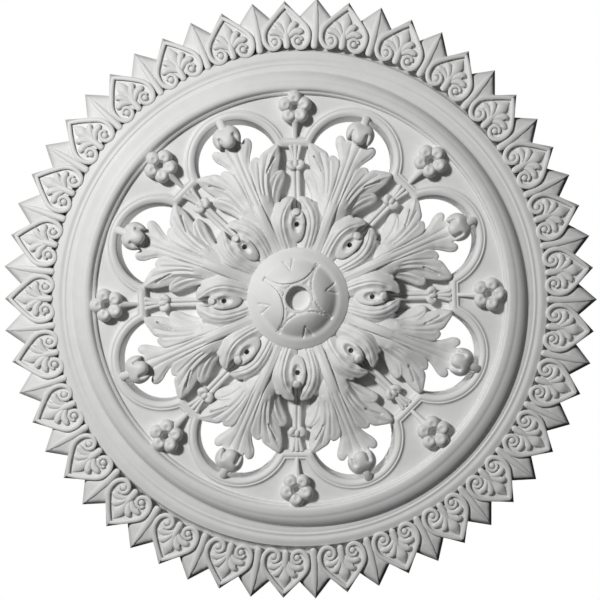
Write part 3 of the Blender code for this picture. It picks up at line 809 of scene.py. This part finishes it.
def boss():
    s = bossSizes
    lobe = s["reach"] * math.sin(math.pi / 4) - s["arm"]
    centres = [s["reach"] * np.array([math.cos(math.radians(t)), math.sin(math.radians(t))]) for t in s["turns"]]
    t = np.linspace(0, 2 * math.pi, 160, endpoint=False)

    def circle(r, middle=(0.0, 0.0), count=1):
        a = t[::count]
        return np.column_stack([middle[0] + r * np.cos(a), middle[1] + r * np.sin(a)])

    creases = [(circle(s["rim"]), True), (circle(s["well"], count=2), True),
               (circle(s["well"] - 0.7, count=2), True), (circle(s["wellLip"], count=2), True)]
    for centre in centres:
        for r in (lobe, lobe - 1.1):
            ring = np.vstack([circle(r, centre)] * 2)
            keepIn = (np.hypot(*ring.T) < s["rim"] - 0.7) & (np.hypot(*ring.T) > s["wellLip"] + 0.5)
            starts = [i for i in range(1, len(ring)) if keepIn[i] and not keepIn[i - 1]]
            for a in starts:
                b = a
                while b < len(ring) and keepIn[b]:
                    b += 1
                if b - a > 3 and a < len(t) and b < len(ring):
                    creases.append((ring[a:b], False))
    dome = table(smooth(s["dome"], 150))

    def height(points):
        r = np.hypot(*points.T)
        z = dome(r)
        inLobe = np.zeros(len(points))
        lip = np.full(len(points), 99.0)
        roll = np.zeros(len(points))
        for turn, centre in zip(s["turns"], centres):
            d = lobe - np.hypot(*(points - centre).T)
            inLobe = np.maximum(inLobe, step(-0.3, 0.9, d))
            roll = np.maximum(roll, np.where(d > 0, 1 - np.sqrt(1 - (1 - np.clip(d / 3.0, 0, 1)) ** 2), 0))
            lip = np.minimum(lip, np.abs(d + 2.2))
            # a V cut in each lobe, its point towards the well
            out = np.array([math.cos(math.radians(turn)), math.sin(math.radians(turn))])
            along, off = points @ out, points @ np.array([-out[1], out[0]])
            far = np.clip((along - 28.5) / 11.0, 0, 1)
            leg = np.abs(np.abs(off) - far * 5.2)
            z = z - 2.4 * np.exp(-(leg / 0.8) ** 2) * step(27.4, 29.4, along) * step(41.0, 38.0, along)
        inner = step(s["rim"] - 0.4, s["rim"] - 2.0, r)
        star = z - table(s["starDrop"])(r) + 1.7 * np.exp(-(lip / 1.4) ** 2)
        z = z + (star - z) * (1 - inLobe) * inner - 1.6 * roll * inner
        flat = 81.0 + 1.2 * np.exp(-((r - s["well"] - 1.1) / 0.9) ** 2)
        z = np.where(r < s["wellLip"], np.minimum(z, flat), z)
        return np.where(r < s["well"] - 0.35, s["wellFloor"], z)

    made = patch(circle(s["edge"]), height, s["spacing"], s["floor"], creases)
    piece = shell("boss", [made])
    piece.data.transform(Matrix.Translation((rose["shift"][0] * unit, -rose["shift"][1] * unit, 0)))
    return keep(piece)


# The toothed edge: palmettes with spearheads between them

edgeSizes = {
    "count": 29, "firstTurn": 93.0, "edgeTurn": 70.0, "oval": 2.4, "square": 1.8,
    "slope": [(240, 25.8), (246, 25.5), (262, 24.5), (298.5, 15.0)], "sunk": 3.5, "draft": 2.4,
    "palmette": [(0.0, 296.8), (8.4, 287.8), (16.8, 277.8), (22.6, 270.8), (25.4, 264.0), (25.2, 257.0),
                 (22.0, 251.0), (16.6, 247.8), (11.0, 247.8), (6.9, 250.8), (4.7, 252.8), (3.2, 249.6),
                 (0.0, 247.6)],
    "band": [(0.0, 291.8, 0.0, 1.8), (8.0, 284.5, 0.0, 2.1), (15.0, 276.8, 0.0, 2.2), (20.6, 269.6, 0.1, 2.3),
             (22.6, 262.4, 0.2, 2.3), (21.2, 254.8, 0.3, 2.3), (16.6, 249.8, 0.4, 2.3), (11.2, 249.6, 0.4, 2.2),
             (7.2, 253.0, 0.4, 2.0), (7.0, 257.8, 0.3, 1.8), (10.1, 261.0, 0.1, 1.7), (14.1, 260.2, -0.3, 1.5),
             (15.7, 257.0, -0.8, 1.3)],
    "eye": (11.7, 255.8, 3.2),
    "fan": [[(1.4, 262.0, -2.0, 1.8), (4.0, 267.6, -1.4, 2.8), (7.2, 271.8, -1.2, 3.6), (9.8, 272.6, -1.5, 3.7),
             (11.2, 271.2, -2.0, 3.0)],
            [(1.4, 260.0, -2.2, 1.6), (6.0, 264.2, -1.7, 2.6), (10.8, 266.2, -1.5, 3.2), (14.8, 265.4, -1.8, 3.2),
             (16.4, 263.4, -2.4, 2.6)]],
    "kite": [(0.0, 262.0, -1.8, 2.2), (0.0, 269.0, -1.4, 3.0), (0.0, 274.0, -1.2, 4.8), (0.0, 277.6, -1.2, 5.5),
             (0.0, 281.6, -1.8, 3.6), (0.0, 286.4, -2.6, 0.5)],
    "stem": [(0.0, 268.0, -1.6, 2.0), (0.0, 260.0, -1.0, 3.0), (0.0, 254.0, -0.6, 3.2), (0.0, 248.6, -0.4, 3.4)],
    "spear": [(0.0, 298.5), (8.6, 288.4), (17.0, 278.6), (12.0, 266.0), (5.4, 252.0), (4.2, 247.6), (0.0, 246.6)],
    "spearSlope": [(246, 22.0), (262, 18.5), (280, 15.0), (298.5, 11.5)],
    "spearRib": [(0.0, 293.0, 13.5, 0.7), (0.0, 284.0, 17.0, 2.4), (0.0, 272.0, 20.0, 3.2), (0.0, 260.0, 22.5, 3.0),
                 (0.0, 250.6, 24.0, 3.3), (0.0, 247.6, 23.6, 3.0)],
}


def drawnIn(loop, width):  # an anticlockwise or clockwise closed line moved inwards
    ahead = np.roll(loop, -1, axis=0) - np.roll(loop, 1, axis=0)
    ahead /= np.linalg.norm(ahead, axis=1)[:, None]
    area = (loop[:, 0] * np.roll(loop[:, 1], -1) - np.roll(loop[:, 0], -1) * loop[:, 1]).sum()
    side = np.column_stack([-ahead[:, 1], ahead[:, 0]]) * math.copysign(1, area)
    return loop + side * width


def palmetteMaster():
    s = edgeSizes
    slope = table(s["slope"])
    half = s["palmette"]
    straight = np.linspace(half[0], half[2], 8)[:-1]
    curved = smooth(half[2:], 30)
    foot = np.array(bothSides([tuple(p) for p in np.vstack([straight, curved])]))
    top = drawnIn(foot, s["draft"])
    top[0] = (0.0, half[0][1] - s["draft"] * 1.5)
    made = [patch(top, lambda p: slope(p[:, 1]) - s["sunk"], 2.6, 0.3, foot=foot)]

    def raised(path):
        return [(x, y, float(slope(y)) + z, w) for x, y, z, w in path]

    for path in mirrored([raised(s["band"])]):
        made.append(blade(path, 54, 12, crown=0.55, keel=2.2, tip=0.8))
    x, y, r = s["eye"]
    for side in (1, -1):
        made.append(knob(side * x, y, float(slope(y)) - 1.6, r, r, 2.4, rings=8, around=16))
    for path in mirrored([raised(path) for path in s["fan"]]):
        made.append(blade(path, 14, 12, crown=0.7, keel=1.4))
    made.append(blade(raised(s["kite"]), 16, 14, crown=0.45, keel=0.9, tip=0.4))
    made.append(blade(raised(s["stem"]), 12, 14, crown=0.6, keel=1.2))
    return shell("palmette", made)


def spearMaster():
    s = edgeSizes
    slope = table(s["spearSlope"])
    half = s["spear"]
    straight = np.linspace(half[0], half[2], 8)[:-1]
    curved = smooth(half[2:], 18)
    foot = np.array(bothSides([tuple(p) for p in np.vstack([straight, curved])]))
    top = drawnIn(foot, 2.0)
    top[0] = (0.0, half[0][1] - 3.2)
    ridge = np.column_stack([np.zeros(8), np.linspace(294.0, 256.0, 8)])

    def height(points):
        d = reachTo(points, top)
        return slope(points[:, 1]) - 0.9 + 1.4 * step(0.0, 1.6, d) + 0.32 * np.clip(d, 0, 9)

    made = [patch(top, height, 2.0, 0.6, [(ridge, False)], foot),
            blade(s["spearRib"], 22, 12, crown=0.55, keel=1.2)]
    return shell("spearhead", made)


def roundTheEdge(name, master, firstTurn):
    s = edgeSizes
    return keep(grown(name, edges, {
        "Element": master, "Finish": white, "Count": s["count"], "First Turn": math.radians(firstTurn),
        "Edge Turn": math.radians(s["edgeTurn"]), "Oval": s["oval"] * unit, "Square": s["square"] * unit}))


mainRing()
piercedPlate()
leafGround()
boss()
masters = {"leaf": bigLeafMaster(), "small": smallLeafMaster(), "rod": rodMaster(), "flower": flowerMaster(),
           "palmette": palmetteMaster(), "spear": spearMaster()}
leafAngles = rose["leafSpokes"]
for name, angles in (("bigLeavesRight", leafAngles[6:] + leafAngles[:1]), ("bigLeavesTop", leafAngles[1:4]),
                     ("bigLeavesLow", leafAngles[4:6])):
    onSpokes(name, masters["leaf"], angles)
for name, key in (("smallLeaves", "small"), ("rods", "rod"), ("flowers", "flower")):
    onSpokes(name, masters[key], rose["rodSpokes"])
roundTheEdge("palmettes", masters["palmette"], edgeSizes["firstTurn"])
roundTheEdge("spearheads", masters["spear"], edgeSizes["firstTurn"] + 180 / edgeSizes["count"])
for master in masters.values():
    bpy.data.objects.remove(master)

# Room, light and camera

room = {"floor": -3.0, "key": (145.0, 52.0, 3.6), "keySize": 0.46, "keyPower": 114.0,
        "sky": 0.01, "above": 2.6, "backdrop": 1.0,
        "photo": 600, "middle": (300.0, 298.9)}


def floorSheet():
    mesh = bpy.data.meshes.new("floor")
    r, z = 7.0, room["floor"]
    mesh.from_pydata([(-r, -r, z), (r, -r, z), (r, r, z), (-r, r, z)], [], [(0, 1, 2, 3)])
    floor = bpy.data.objects.new("floor", mesh)
    bpy.context.scene.collection.objects.link(floor)
    pale = bpy.data.materials.new("paleFloor")
    pale.use_nodes = True
    coat = pale.node_tree.nodes["Principled BSDF"]
    coat.inputs["Base Color"].default_value = (0.80, 0.80, 0.79, 1)
    coat.inputs["Roughness"].default_value = 0.7
    mesh.materials.append(pale)
    floor.visible_diffuse = False  # the pale sheet would fill the relief's shadows


def lamp(name, place, size, power):
    light = bpy.data.lights.new(name, "AREA")
    light.shape = "DISK"
    light.size = size
    light.energy = power
    made = bpy.data.objects.new(name, light)
    made.location = place
    made.rotation_euler = (-Vector(place)).to_track_quat("-Z", "Y").to_euler()
    bpy.context.scene.collection.objects.link(made)


def lightRoom():
    turn, rise, far = math.radians(room["key"][0]), math.radians(room["key"][1]), room["key"][2]
    place = (far * math.cos(rise) * math.cos(turn), -far * math.cos(rise) * math.sin(turn), -far * math.sin(rise))
    lamp("key", place, room["keySize"], room["keyPower"])
    above = bpy.data.lights.new("above", "SUN")  # for the floor and the back, which the key doesn't reach
    above.energy = room["above"]
    above.angle = math.radians(20)
    bpy.context.scene.collection.objects.link(bpy.data.objects.new("above", above))
    world = bpy.data.worlds.new("studio")
    world.use_nodes = True
    bpy.context.scene.world = world
    world.node_tree.nodes.clear()
    g = Graph(world.node_tree)
    seen = g.node("ShaderNodeLightPath", output="Is Camera Ray")
    strength = seen * (room["backdrop"] - room["sky"]) + room["sky"]
    sky = g.node("ShaderNodeBackground", None, {"Color": (1, 1, 1, 1), "Strength": strength})
    g.node("ShaderNodeOutputWorld", None, {"Surface": sky})
    bpy.context.scene.view_settings.view_transform = "Standard"
    bpy.context.scene.view_settings.look = "None"


def photoCamera():
    lens = bpy.data.cameras.new("photoCamera")
    lens.sensor_width = 36
    lens.lens = 36 * rose["sight"] / (room["photo"] * unit)
    lens.shift_x = (room["photo"] / 2 - room["middle"][0]) / room["photo"]
    lens.shift_y = (room["middle"][1] - room["photo"] / 2) / room["photo"]
    made = bpy.data.objects.new("photoCamera", lens)
    made.matrix_world = Matrix(((1, 0, 0, 0), (0, -1, 0, 0), (0, 0, -1, -rose["sight"]), (0, 0, 0, 1)))
    bpy.context.scene.collection.objects.link(made)
    bpy.context.scene.camera = made


floorSheet()
lightRoom()
photoCamera()

for piece in pieces:
    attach(piece, "root")
    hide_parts("ceiling_rose")
print("pieces", len(pieces), "triangles", sum(len(p.vertices) - 2 for o in pieces for p in o.data.polygons))
